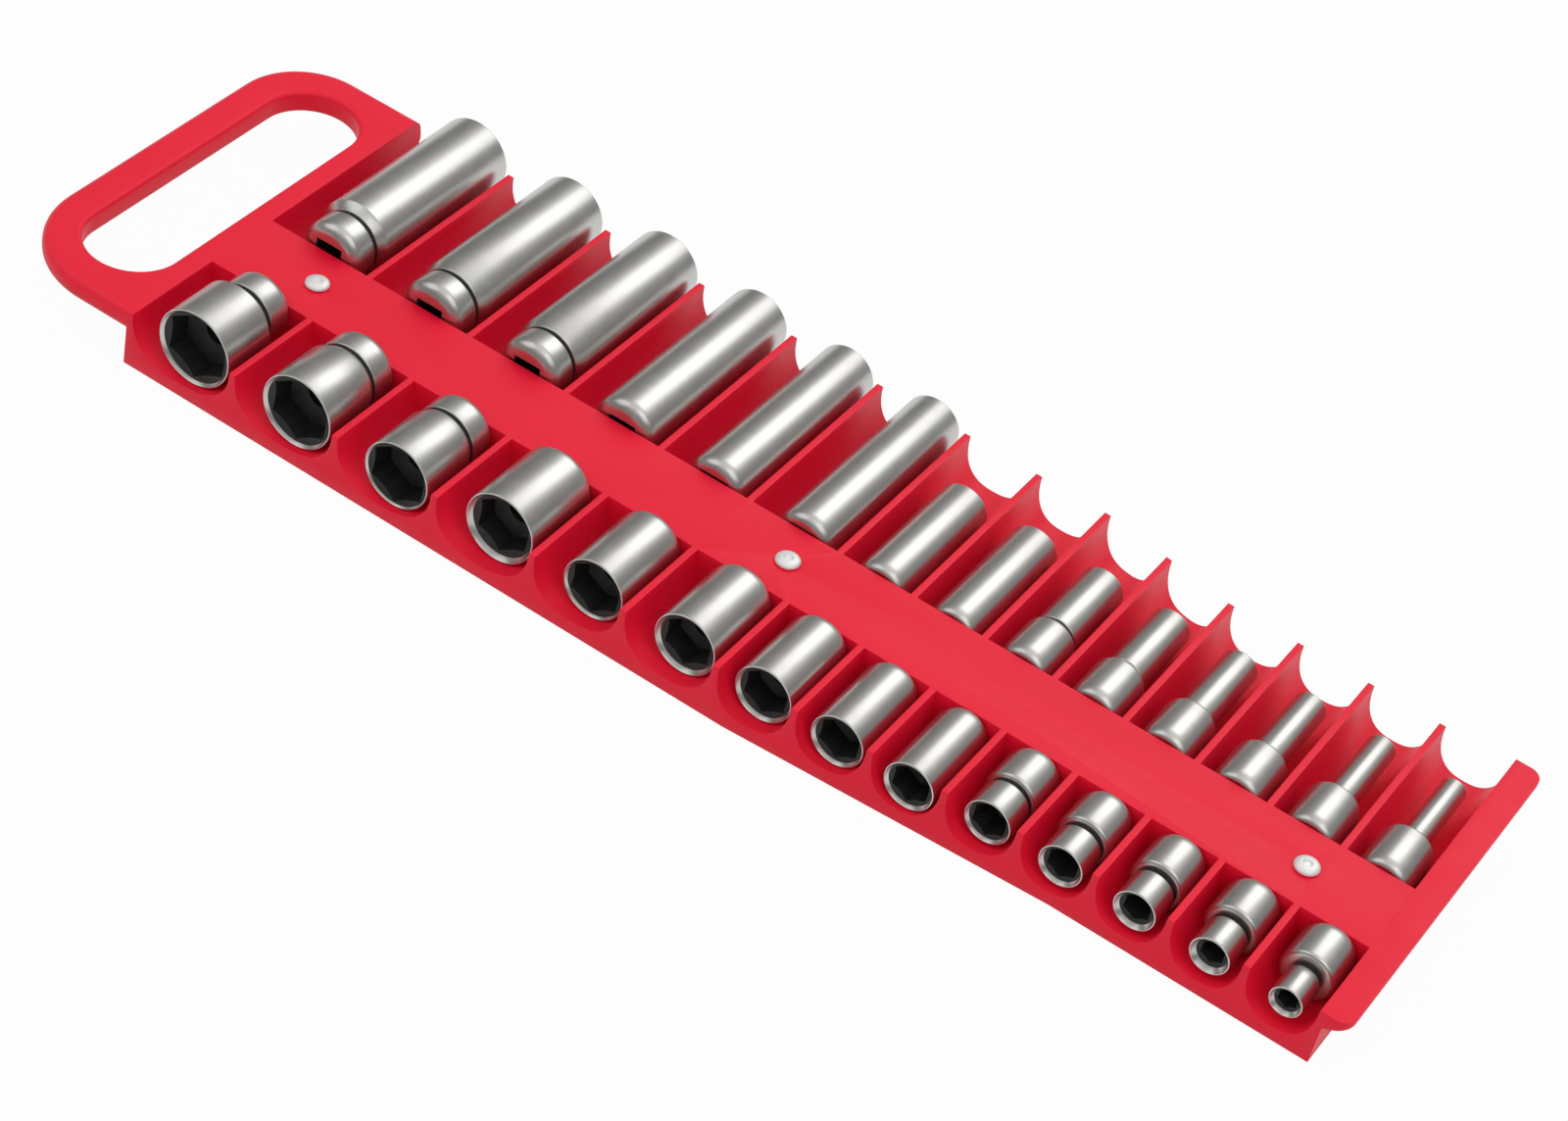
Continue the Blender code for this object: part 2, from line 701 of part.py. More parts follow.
def make_socket(socket, material):
    """A turned outside with a hexagon in the nose and a square in the drive end, joined by a bore."""
    bm = bmesh.new()
    outer = [round_ring(bm, radius, along, SOCKET_SIDES) for radius, along in socket.outer_profile()]
    for lower, upper in zip(outer, outer[1:]):
        skin_rings(bm, lower, upper)
    corner = (socket.hex_size + HEX_CLEARANCE) / math.sqrt(3)
    face = socket.nose_radius - SOCKET_EDGE
    mouth = corner + (face - corner) * MOUTH_FLARE_SHARE
    bore = socket.bore_radius
    half_diagonal = SQUARE_DRIVE / math.sqrt(2)
    hex_floor = socket.length - MOUTH_LEAD - socket.hex_depth
    inner = [
        outer[-1],
        round_ring(bm, mouth, socket.length, BORE_SIDES),
        round_ring(bm, corner, socket.length - MOUTH_LEAD, HEX_SIDES),
        round_ring(bm, corner, hex_floor, HEX_SIDES),
        round_ring(bm, bore, hex_floor - BORE_CONE, BORE_SIDES),
        round_ring(bm, bore, SQUARE_DEPTH + BORE_CONE, BORE_SIDES),
        turned(round_ring(bm, half_diagonal, SQUARE_DEPTH, SQUARE_SIDES)),
        turned(round_ring(bm, half_diagonal, 0.0, SQUARE_SIDES)),
        outer[0],
    ]
    for lower, upper in zip(inner, inner[1:]):
        join_rings(bm, lower, upper)
    obj = new_object(socket.name, bm, material)
    side = 1 if socket.row == "deep" else -1
    obj.location = (
        X_SHIFT + socket_place(socket.index),
        Y_SHIFT + side * SOCKET_REACH,
        socket_axis_height(socket),
    )
    obj.rotation_euler.z = 0.0 if side > 0 else math.pi
    return obj


def turned(ring):
    """Turn a square ring by an eighth of a circle, so that its sides lie level and upright."""
    for vertex in ring:
        x, z = vertex.co.x, vertex.co.z
        vertex.co.x = (x - z) / math.sqrt(2)
        vertex.co.z = (x + z) / math.sqrt(2)
    return ring


def main():
    clear_scene()
    red_plastic = make_material("red_plastic", TRAY_COLOUR, TRAY_ROUGHNESS, 0.0)
    magnet_rubber = make_material("magnet_rubber", MAGNET_COLOUR, MAGNET_ROUGHNESS, 0.0)
    satin_chrome = make_material("satin_chrome", SOCKET_COLOUR, SOCKET_ROUGHNESS, 1.0)
    aluminium = make_material("aluminium", RIVET_COLOUR, RIVET_ROUGHNESS, 1.0)
    zinc_steel = make_material("zinc_steel", STRIP_COLOUR, STRIP_ROUGHNESS, 1.0)
    make_tray(red_plastic)
    make_magnet("front_magnet_strip", -1, magnet_rubber)
    make_magnet("rear_magnet_strip", 1, magnet_rubber)
    make_steel_strip(zinc_steel)
    for number, place in enumerate(rivet_places(), start=1):
        make_rivet(f"rivet_{number}", place, aluminium)
    for socket in SHALLOW_SOCKETS + DEEP_SOCKETS:
        make_socket(socket, satin_chrome)
    bpy.context.view_layer.update()


main()
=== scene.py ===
"""Looks for the socket rail: a finer tray, finer sockets and finer rivets over the CAD frame, with their
materials, a pale floor, soft studio light and a camera at the photograph's viewing angle. All sizes are in
metres.
"""
import math
from typing import NamedTuple

import bmesh
import bpy
from mathutils import Matrix, Vector


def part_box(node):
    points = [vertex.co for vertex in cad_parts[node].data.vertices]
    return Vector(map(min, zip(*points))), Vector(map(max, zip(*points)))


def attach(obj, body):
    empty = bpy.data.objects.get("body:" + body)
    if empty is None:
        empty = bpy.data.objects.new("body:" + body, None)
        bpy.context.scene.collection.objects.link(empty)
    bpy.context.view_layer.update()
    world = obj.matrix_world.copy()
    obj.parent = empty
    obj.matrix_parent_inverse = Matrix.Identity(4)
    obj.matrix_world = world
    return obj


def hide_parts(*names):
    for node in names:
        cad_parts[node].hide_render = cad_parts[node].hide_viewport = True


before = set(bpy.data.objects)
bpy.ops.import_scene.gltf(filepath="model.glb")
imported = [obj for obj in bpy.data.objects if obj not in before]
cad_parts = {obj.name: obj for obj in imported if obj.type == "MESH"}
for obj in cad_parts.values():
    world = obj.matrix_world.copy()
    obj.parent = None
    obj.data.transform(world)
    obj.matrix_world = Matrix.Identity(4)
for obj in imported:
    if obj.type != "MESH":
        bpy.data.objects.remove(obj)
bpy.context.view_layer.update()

# The tray's sizes, as in the CAD
TRAY_HEIGHT = 0.0142
TROUGH_FLOOR_HEIGHT = 0.0034
BAND_SKIN = 0.0022
HANDLE_THICKNESS = 0.0058
FLANGE_EDGE_THICKNESS = 0.0015
FLANGE_ROOT_THICKNESS = 0.0040
BAND_WIDTH = 0.0206
FRONT_REACH = 0.0364
FRONT_WAIST = 0.0047
REAR_REACH = 0.0628
REAR_WAIST = 0.0058
RIB_THICKNESS = 0.0015
END_WALL = 0.0015
WAIST_CORNER_SHARES = (0.54, 0.80)
REAR_WAIST_CORNER_SHARES = (0.655, 0.765)
HANDLE_REACH = 0.0375
HANDLE_REAR_STEP = 0.0018
HANDLE_REAR_REACH = REAR_REACH + HANDLE_REAR_STEP
HANDLE_FRONT_CORNER = 0.0220
HANDLE_REAR_CORNER = 0.0180
HANDLE_EDGE_ROUND = 0.0025
HANDLE_LAP = 0.0080
GRIP_WIDTH = 0.0092
SLOT_WIDTH = 0.0226
SLOT_FRONT_MARGIN = 0.0092
SLOT_REAR_MARGIN = 0.0086
SLOT_EDGE_ROUND = 0.0012
FLANGE_REACH = 0.0066
FLANGE_REAR_STEP = 0.0020
FLANGE_REAR_REACH = REAR_REACH - REAR_WAIST + FLANGE_REAR_STEP
FLANGE_CORNER = 0.0030
FLANGE_LAP = 0.0060
CHANNEL_WALL = 0.0020
CHANNEL_END_MARGIN = 0.0050
STRIP_THICKNESS = 0.0012
RIVET_SHARES = (0.0723, 0.5024, 0.9326)
RIVET_HEAD_HEIGHT = 0.0010
RIVET_DIMPLE_DIAMETER = 0.0018
RIVET_DIMPLE_DEPTH = 0.0004
RIVET_SHANK_DIAMETER = 0.0032
RIVET_TAIL_DIAMETER = 0.0048
RIVET_TAIL_LENGTH = 0.0022
FINGER_ROOMS = (
    0.0076, 0.0080, 0.0074, 0.0066, 0.0067, 0.0066, 0.0034,
    0.0035, 0.0034, 0.0034, 0.0034, 0.0034, 0.0034, 0.0034,
)
WIDE_TROUGH_COUNT = 6
WIDE_LEAN_SHARE = 0.60
NARROW_LEAN_SHARE = 0.40
TROUGH_SECTION_POWER = 2.5
MAGNET_THICKNESS = 0.0015
MAGNET_RECESS = 0.0002
MAGNET_END_MARGIN = 0.0030
MAGNET_BAND_MARGIN = 0.0035
FRONT_MAGNET_MARGIN = 0.0029
REAR_MAGNET_MARGIN = 0.0052
SEAT_GAP = 0.0003
OVERRUN = 0.0030

# The sockets' sizes, as in the CAD
LARGEST_HEX = 0.0142875
HEX_STEP = 0.00079375
HEX_CLEARANCE = 0.0001
SHALLOW_NOSE_DIAMETERS = (
    0.0190, 0.0181, 0.0164, 0.0172, 0.0149, 0.0150, 0.0137,
    0.0126, 0.0117, 0.0107, 0.0101, 0.0096, 0.0090, 0.0074,
)
DEEP_NOSE_DIAMETERS = (
    0.0184, 0.0174, 0.0172, 0.0156, 0.0142, 0.0137, 0.0123,
    0.0119, 0.0105, 0.0095, 0.0086, 0.0077, 0.0068, 0.0060,
)
SHALLOW_GROOVED_DRIVE_DIAMETERS = (0.0150, 0.0162, 0.0154)
DEEP_GROOVED_DRIVE_DIAMETERS = (0.0156, 0.0160, 0.0156)
STEPPED_DRIVE_DIAMETER = 0.0122
SHALLOW_GROOVED_LENGTH = 0.0242
SHALLOW_STRAIGHT_LENGTH = 0.0223
SHALLOW_STEPPED_LENGTH = 0.0198
LONG_DEEP_LENGTH = 0.0540
SHORT_DEEP_LENGTH = 0.0354
LONG_DEEP_COUNT = 6
SHALLOW_GROOVED_DRIVE_LENGTH = 0.0075
DEEP_GROOVED_DRIVE_LENGTH = 0.0070
SHALLOW_STEPPED_DRIVE_LENGTH = 0.0112
DEEP_STEPPED_DRIVE_LENGTH = 0.0135
GROOVE_WIDTH = 0.0010
GROOVE_DEPTH = 0.0006
SHOULDER_LENGTH = 0.0020
SQUARE_DRIVE = 0.00643
SQUARE_DEPTH = 0.0076
SHALLOW_HEX_DEPTH = 0.0070
DEEP_HEX_DEPTH = 0.0120
BORE_SHARE = 0.96
BORE_CONE = 0.0010
SOCKET_BAND_GAP = 0.0004

# Fine forms for the looks. The drive ends are rounder than in the CAD, and the rivet heads smaller, so that
# their highlights are those of the photograph.
RIM_ROUND = 0.00025
EDGE_ROUND = 0.0003
STEP_ROUND = 0.0010
MOUTH_SHARE = 0.95
CHAMFER_SHARE = 0.40
CHAMFER_ANGLE = math.radians(35)
FLARE_ANGLE = math.radians(60)
DRIVE_MOUTH = 0.0003
DRIVE_ROUND_SHARE = 0.90
DRIVE_ROUND_LENGTH = 0.0028
TRAY_EDGE_ROUND = 0.00050
RIVET_HEAD_DIAMETER = 0.0056
RIVET_LIFT = 0.00004
RIVET_EDGE_ROUND = 0.0003
RIVET_DIMPLE_ROUND = 0.0002
SHARP_ANGLE = math.radians(32)
BEVEL_ANGLE = math.radians(40)
ROUND_PROFILE_SHARE = 0.5

# Facets
SOCKET_SIDES = 72
HEX_SIDES = 6
SQUARE_SIDES = 4
RIM_FACETS = 4
DRIVE_ROUND_FACETS = 8
TROUGH_FACETS = 30
CORNER_FACETS = 24
EDGE_FACETS = 7
SLOT_END_FACETS = 32
RIVET_SIDES = 48
DOME_FACETS = 6
TRAY_EDGE_FACETS = 3

# The camera was fitted to the tray's straight edges in the photograph. Its place is measured from the
# middle rivet, on the plane of the tray's top.
PHOTO_WIDTH = 1600
FOCAL_PIXELS = 3826.34
SENSOR_WIDTH = 36.0
CAMERA_FROM_MIDDLE_RIVET = Vector((0.2376, -0.5306, 0.5193))
CAMERA_RIGHT = Vector((0.8204, 0.5433, 0.1783))
CAMERA_UP = Vector((-0.4832, 0.4920, 0.7242))
CAMERA_BACK = Vector((0.3057, -0.6803, 0.6661))
CAMERA_NEAREST = 0.01
CAMERA_FARTHEST = 100.0

SOCKET_COUNT = len(SHALLOW_NOSE_DIAMETERS)
TRAY_LOW = Vector(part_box("tray")[0])
ROW_X = TRAY_LOW.x + HANDLE_REACH
BAND_Y = TRAY_LOW.y + FRONT_REACH


class Socket:
    """The sizes of one socket, worked out from its row and its place in it."""

    def __init__(self, row, index):
        self.deep = row == "deep"
        noses = DEEP_NOSE_DIAMETERS if self.deep else SHALLOW_NOSE_DIAMETERS
        grooved = DEEP_GROOVED_DRIVE_DIAMETERS if self.deep else SHALLOW_GROOVED_DRIVE_DIAMETERS
        self.node = f"{row}_socket_{index + 1:02d}"
        self.index = index
        self.hex_size = LARGEST_HEX - index * HEX_STEP
        self.nose_radius = noses[index] / 2
        if index < len(grooved):
            self.shape = "grooved"
            self.drive_radius = grooved[index] / 2
        elif noses[index] < STEPPED_DRIVE_DIAMETER - GROOVE_DEPTH:
            self.shape = "stepped"
            self.drive_radius = STEPPED_DRIVE_DIAMETER / 2
        else:
            self.shape = "straight"
            self.drive_radius = self.nose_radius
        self.length = self.deep_length() if self.deep else self.shallow_length()
        self.drive_length = self.drive_end_length()
        self.hex_depth = DEEP_HEX_DEPTH if self.deep else SHALLOW_HEX_DEPTH
        widest_bore = self.hex_size if self.deep else min(self.hex_size, SQUARE_DRIVE)
        self.bore_radius = widest_bore * BORE_SHARE / 2

    def deep_length(self):
        return LONG_DEEP_LENGTH if self.index < LONG_DEEP_COUNT else SHORT_DEEP_LENGTH

    def shallow_length(self):
        lengths = {
            "grooved": SHALLOW_GROOVED_LENGTH,
            "straight": SHALLOW_STRAIGHT_LENGTH,
            "stepped": SHALLOW_STEPPED_LENGTH,
        }
        return lengths[self.shape]

    def drive_end_length(self):
        if self.shape == "grooved":
            return DEEP_GROOVED_DRIVE_LENGTH if self.deep else SHALLOW_GROOVED_DRIVE_LENGTH
        if self.shape == "stepped":
            return DEEP_STEPPED_DRIVE_LENGTH if self.deep else SHALLOW_STEPPED_DRIVE_LENGTH
        return SQUARE_DEPTH

    def neck_radius(self):
        """Radius at the bottom of the groove or of the undercut below the step."""
        return (self.drive_radius if self.shape == "grooved" else self.nose_radius) - GROOVE_DEPTH

    def largest_radius(self):
        return max(self.nose_radius, self.drive_radius)


SHALLOW_SOCKETS = [Socket("shallow", index) for index in range(SOCKET_COUNT)]
DEEP_SOCKETS = [Socket("deep", index) for index in range(SOCKET_COUNT)]


def trough_widths():
    widths = []
    for index in range(SOCKET_COUNT):
        thickest = max(SHALLOW_SOCKETS[index].largest_radius(), DEEP_SOCKETS[index].largest_radius())
        widths.append(2 * thickest + FINGER_ROOMS[index])
    return widths


TROUGH_WIDTHS = trough_widths()
ROW_LENGTH = sum(TROUGH_WIDTHS) + (SOCKET_COUNT - 1) * RIB_THICKNESS


def trough_middle(index):
    return sum(TROUGH_WIDTHS[:index]) + index * RIB_THICKNESS + TROUGH_WIDTHS[index] / 2


def socket_place(index):
    """Where the two sockets of a trough lie along the row: past its middle, towards the flange."""
    share = WIDE_LEAN_SHARE if index < WIDE_TROUGH_COUNT else NARROW_LEAN_SHARE
    return trough_middle(index) + FINGER_ROOMS[index] / 2 * share


def rivet_places():
    return [ROW_LENGTH * share for share in RIVET_SHARES]


# Helpers for the materials


class Pattern(NamedTuple):
    """A noise in the object's own axes: waves per metre along each, its octaves and how strong they are."""

    scales: tuple
    octaves: float = 4.0
    roughness: float = 0.5


class Relief(NamedTuple):
    """How much of a bump shows, and its height in metres."""

    strength: float
    height: float


def add_node(tree, kind, **settings):
    node = tree.nodes.new(kind)
    for key, value in settings.items():
        setattr(node, key, value)
    return node


def new_material(name):
    material = bpy.data.materials.new(name)
    material.use_nodes = True
    tree = material.node_tree
    return material, tree, tree.nodes["Principled BSDF"]


def noise(tree, pattern):
    where = add_node(tree, "ShaderNodeTexCoord").outputs["Object"]
    mapping = add_node(tree, "ShaderNodeMapping")
    mapping.inputs["Scale"].default_value = pattern.scales
    tree.links.new(where, mapping.inputs["Vector"])
    node = add_node(tree, "ShaderNodeTexNoise")
    node.inputs["Scale"].default_value = 1.0
    node.inputs["Detail"].default_value = pattern.octaves
    node.inputs["Roughness"].default_value = pattern.roughness
    tree.links.new(mapping.outputs["Vector"], node.inputs["Vector"])
    return node.outputs["Fac"]


def colour_ramp(tree, factor, stops):
    """The colour that a factor picks between stops, each of them a position and a colour."""
    node = add_node(tree, "ShaderNodeValToRGB")
    ramp = node.color_ramp
    while len(ramp.elements) < len(stops):
        ramp.elements.new(1.0)
    for element, (position, colour) in zip(ramp.elements, stops):
        element.position = position
        element.color = (*colour, 1.0)
    tree.links.new(factor, node.inputs["Fac"])
    return node.outputs["Color"]


def colour_by(tree, shader, factor, stops):
    tree.links.new(colour_ramp(tree, factor, stops), shader.inputs["Base Color"])


def roughen_by(tree, shader, factor, limits):
    """Let the roughness follow a factor from the lower limit, at 0, to the upper one, at 1."""
    node = add_node(tree, "ShaderNodeMapRange")
    node.inputs["To Min"].default_value, node.inputs["To Max"].default_value = limits
    tree.links.new(factor, node.inputs["Value"])
    tree.links.new(node.outputs["Result"], shader.inputs["Roughness"])


def raise_by(tree, shader, *layers):
    """Raise the surface by one or more layers, each of them a factor and a relief, the finest first."""
    normal = None
    for factor, relief in layers:
        node = add_node(tree, "ShaderNodeBump")
        node.inputs["Strength"].default_value = relief.strength
        node.inputs["Distance"].default_value = relief.height
        tree.links.new(factor, node.inputs["Height"])
        if normal is not None:
            tree.links.new(normal, node.inputs["Normal"])
        normal = node.outputs["Normal"]
    tree.links.new(normal, shader.inputs["Normal"])


# The materials

FULLY_METALLIC = 1.0

RED_STOPS = ((0.30, (0.86, 0.002, 0.029)), (0.70, (0.90, 0.005, 0.035)))
RED_ROUGHNESS = (0.42, 0.54)
RED_SPECULAR_LEVEL = 0.38
RED_FLOW = Pattern((18.0, 30.0, 30.0), octaves=3.0)
RED_PATCHES = Pattern((140.0, 140.0, 140.0), octaves=3.0)
RED_GRAIN = Pattern((2600.0, 2600.0, 2600.0), octaves=2.0)
RED_GRAIN_RELIEF = Relief(0.10, 0.00005)
RED_SINK_RELIEF = Relief(0.06, 0.0006)

CHROME_STOPS = ((0.25, (0.54, 0.53, 0.51)), (0.75, (0.59, 0.58, 0.56)))
CHROME_ROUGHNESS = (0.27, 0.34)
CHROME_CLOUD = Pattern((260.0, 260.0, 260.0))
CHROME_RINGS = Pattern((60.0, 5200.0, 60.0), octaves=3.0, roughness=0.6)
CHROME_RELIEF = Relief(0.10, 0.00004)

# The inside of the sockets: a near-black colour that is painted shade of their depth
BORE_PAINTED_SHADE_STOPS = ((0.25, (0.006, 0.006, 0.006)), (0.80, (0.022, 0.021, 0.020)))
BORE_ROUGHNESS = (0.45, 0.65)
BORE_STREAKS = Pattern((900.0, 60.0, 900.0))
BORE_RELIEF = Relief(0.15, 0.0001)

MAGNET_STOPS = ((0.30, (0.032, 0.028, 0.026)), (0.75, (0.060, 0.054, 0.050)))
MAGNET_ROUGHNESS = (0.60, 0.85)
MAGNET_GRAIN = Pattern((120.0, 1800.0, 1800.0), octaves=5.0)
MAGNET_RELIEF = Relief(0.25, 0.0001)

ALUMINIUM_STOPS = ((0.30, (0.82, 0.82, 0.82)), (0.70, (0.90, 0.90, 0.90)))
ALUMINIUM_ROUGHNESS = (0.45, 0.55)
ALUMINIUM_METALLIC = 0.55
ALUMINIUM_SCRATCHES = Pattern((4200.0, 500.0, 900.0))
ALUMINIUM_RELIEF = Relief(0.12, 0.00005)

ZINC_STOPS = ((0.30, (0.44, 0.45, 0.46)), (0.70, (0.56, 0.57, 0.58)))
ZINC_ROUGHNESS = (0.38, 0.52)
ZINC_PATCHES = Pattern((90.0, 90.0, 90.0), octaves=3.0)
ZINC_ROLLED = Pattern((40.0, 1500.0, 1500.0))
ZINC_RELIEF = Relief(0.10, 0.00005)


def make_red_plastic():
    """Glossy moulded plastic: slight flow marks in its colour, a fine grain and faint sink marks."""
    material, tree, shader = new_material("red_plastic")
    patches = noise(tree, RED_PATCHES)
    colour_by(tree, shader, noise(tree, RED_FLOW), RED_STOPS)
    roughen_by(tree, shader, patches, RED_ROUGHNESS)
    raise_by(tree, shader, (noise(tree, RED_GRAIN), RED_GRAIN_RELIEF), (patches, RED_SINK_RELIEF))
    shader.inputs["Specular IOR Level"].default_value = RED_SPECULAR_LEVEL
    return material


def make_satin_chrome():
    """Chrome plate over turned steel: fine rings round the axis and a light cloudiness."""
    material, tree, shader = new_material("satin_chrome")
    cloud = noise(tree, CHROME_CLOUD)
    colour_by(tree, shader, cloud, CHROME_STOPS)
    roughen_by(tree, shader, cloud, CHROME_ROUGHNESS)
    raise_by(tree, shader, (noise(tree, CHROME_RINGS), CHROME_RELIEF))
    shader.inputs["Metallic"].default_value = FULLY_METALLIC
    return material


def make_painted_shade_bore():
    """The broached inside of a socket: nearly black, which is painted shade of its depth, with faint
    streaks.
    """
    material, tree, shader = new_material("painted_shade_bore")
    streaks = noise(tree, BORE_STREAKS)
    colour_by(tree, shader, streaks, BORE_PAINTED_SHADE_STOPS)
    roughen_by(tree, shader, streaks, BORE_ROUGHNESS)
    raise_by(tree, shader, (streaks, BORE_RELIEF))
    return material


def make_magnet_rubber():
    """Flexible magnet: dark brown-grey with a calendered grain along the strip."""
    material, tree, shader = new_material("magnet_rubber")
    grain = noise(tree, MAGNET_GRAIN)
    colour_by(tree, shader, grain, MAGNET_STOPS)
    roughen_by(tree, shader, grain, MAGNET_ROUGHNESS)
    raise_by(tree, shader, (grain, MAGNET_RELIEF))
    return material


def make_aluminium():
    """Bare aluminium of the rivets, dulled by oxide, with fine scratches."""
    material, tree, shader = new_material("aluminium")
    scratches = noise(tree, ALUMINIUM_SCRATCHES)
    colour_by(tree, shader, scratches, ALUMINIUM_STOPS)
    roughen_by(tree, shader, scratches, ALUMINIUM_ROUGHNESS)
    raise_by(tree, shader, (scratches, ALUMINIUM_RELIEF))
    shader.inputs["Metallic"].default_value = ALUMINIUM_METALLIC
    return material


def make_zinc_steel():
    """Zinc plate on the steel strip: dull patches over the marks of rolling."""
    material, tree, shader = new_material("zinc_steel")
    patches = noise(tree, ZINC_PATCHES)
    colour_by(tree, shader, patches, ZINC_STOPS)
    roughen_by(tree, shader, patches, ZINC_ROUGHNESS)
    raise_by(tree, shader, (noise(tree, ZINC_ROLLED), ZINC_RELIEF))
    shader.inputs["Metallic"].default_value = FULLY_METALLIC
    return material


# Helpers for the meshes


def add_object(name, data):
    obj = bpy.data.objects.new(name, data)
    bpy.context.scene.collection.objects.link(obj)
    return obj


def smooth_between_sharp_edges(mesh):
    mesh.shade_smooth()
    mesh.set_sharp_from_angle(angle=SHARP_ANGLE)


def new_object(name, bm, *materials):
    bmesh.ops.recalc_face_normals(bm, faces=bm.faces)
    mesh = bpy.data.meshes.new(name)
    bm.to_mesh(mesh)
    bm.free()
    for material in materials:
        mesh.materials.append(material)
    smooth_between_sharp_edges(mesh)
    return add_object(name, mesh)


def apply_modifiers(obj):
    evaluated = obj.evaluated_get(bpy.context.evaluated_depsgraph_get())
    mesh = bpy.data.meshes.new_from_object(evaluated)
    obj.modifiers.clear()
    obj.data = mesh


def combine(target, tool, operation):
    """Join or cut with an exact Boolean, keep its result as the mesh, and remove the tool."""
    modifier = target.modifiers.new(tool.name, "BOOLEAN")
    modifier.solver = "EXACT"
    modifier.operation = operation
    modifier.object = tool
    apply_modifiers(target)
    bpy.data.objects.remove(tool, do_unlink=True)


def skin_rings(bm, lower, upper, material_index=0):
    count = len(lower)
    for index in range(count):
        after = (index + 1) % count
        face = bm.faces.new((lower[index], lower[after], upper[after], upper[index]))
        face.material_index = material_index


def skin_in_turn(bm, rings, material_index=0):
    for lower, upper in zip(rings, rings[1:]):
        skin_rings(bm, lower, upper, material_index)


def quarter_turn(facets):
    """Angles from zero to a right angle, at equal steps."""
    return [math.pi / 2 * step / facets for step in range(facets + 1)]


def arc_points(centre_x, centre_y, radius, start_degrees, end_degrees, facets):
    points = []
    for step in range(facets + 1):
        angle = math.radians(start_degrees + (end_degrees - start_degrees) * step / facets)
        points.append((centre_x + radius * math.cos(angle), centre_y + radius * math.sin(angle)))
    return points


def circle_points(centre_x, centre_y, radius, sides):
    return arc_points(centre_x, centre_y, radius, 0, 360, sides)[:-1]


def inset_points(points, distance):
    """Move a closed counterclockwise outline inwards by one distance all round."""
    moved = []
    for index, (x, y) in enumerate(points):
        x_before, y_before = points[index - 1]
        x_after, y_after = points[(index + 1) % len(points)]
        before = math.atan2(y - y_before, x - x_before)
        after = math.atan2(y_after - y, x_after - x)
        turn = math.remainder(after - before, math.tau)
        normal = before + turn / 2 + math.pi / 2
        reach = distance / math.cos(turn / 2)
        moved.append((x + reach * math.cos(normal), y + reach * math.sin(normal)))
    return moved


def add_ring(bm, points, height):
    return [bm.verts.new((x, y, height)) for x, y in points]


def skin_prism(bm, lower, upper):
    skin_rings(bm, lower, upper)
    bm.faces.new(lower)
    bm.faces.new(upper)


def prism(bm, points, low, high):
    lower = add_ring(bm, points, low)
    upper = add_ring(bm, points, high)
    skin_prism(bm, lower, upper)


def box(bm, x_low, x_high, y_low, y_high, z_low, z_high):
    corners = [(x_low, y_low), (x_high, y_low), (x_high, y_high), (x_low, y_high)]
    prism(bm, corners, z_low, z_high)


# The tray, in its own axes: X from the wall of the first trough, Y from the middle of the band


def make_body():
    left = -END_WALL
    right = ROW_LENGTH + END_WALL
    front_near, front_far = (ROW_LENGTH * share for share in WAIST_CORNER_SHARES)
    rear_near, rear_far = (ROW_LENGTH * share for share in REAR_WAIST_CORNER_SHARES)
    outline = [
        (left, -FRONT_REACH),
        (front_near, -FRONT_REACH),
        (front_far, FRONT_WAIST - FRONT_REACH),
        (right, FRONT_WAIST - FRONT_REACH),
        (right, REAR_REACH - REAR_WAIST),
        (rear_far, REAR_REACH - REAR_WAIST),
        (rear_near, REAR_REACH),
        (left, REAR_REACH),
    ]
    bm = bmesh.new()
    prism(bm, outline, 0.0, TRAY_HEIGHT)
    return new_object("tray_moulding", bm)


def handle_outline():
    left = -HANDLE_REACH
    right = HANDLE_LAP
    front = HANDLE_FRONT_CORNER
    rear = HANDLE_REAR_CORNER
    points = [(right, HANDLE_REAR_REACH)]
    points += arc_points(left + rear, HANDLE_REAR_REACH - rear, rear, 90, 180, CORNER_FACETS)
    points += arc_points(left + front, front - FRONT_REACH, front, 180, 270, CORNER_FACETS)
    points.append((right, -FRONT_REACH))
    return points


def slot_outline():
    radius = SLOT_WIDTH / 2
    middle = GRIP_WIDTH + radius - HANDLE_REACH
    rear = HANDLE_REAR_REACH - SLOT_REAR_MARGIN - radius
    front = SLOT_FRONT_MARGIN + radius - FRONT_REACH
    rear_end = arc_points(middle, rear, radius, 0, 180, SLOT_END_FACETS)
    front_end = arc_points(middle, front, radius, 180, 360, SLOT_END_FACETS)
    return rear_end + front_end


def add_outline_wall(bm, points, low, high, edge_round, inward):
    """Skin the wall of an outline with a round at its foot and at its top. inward is -1 for a hole."""
    rings = []
    for angle in quarter_turn(EDGE_FACETS):
        inset = edge_round * (1 - math.sin(angle)) * inward
        rings.append((inset, low + edge_round * (1 - math.cos(angle))))
    for angle in quarter_turn(EDGE_FACETS):
        inset = edge_round * (1 - math.cos(angle)) * inward
        rings.append((inset, high - edge_round * (1 - math.sin(angle))))
    made = [add_ring(bm, inset_points(points, inset), height) for inset, height in rings]
    skin_in_turn(bm, made)
    return made[0], made[-1]


def fill_between(bm, outer, inner):
    """Fill the flat area between an outer ring and the ring of a hole in it."""
    edges = []
    for ring in (outer, inner):
        for index, vertex in enumerate(ring):
            edges.append(bm.edges.get((vertex, ring[(index + 1) % len(ring)])))
    bmesh.ops.triangle_fill(bm, use_beauty=True, edges=edges)


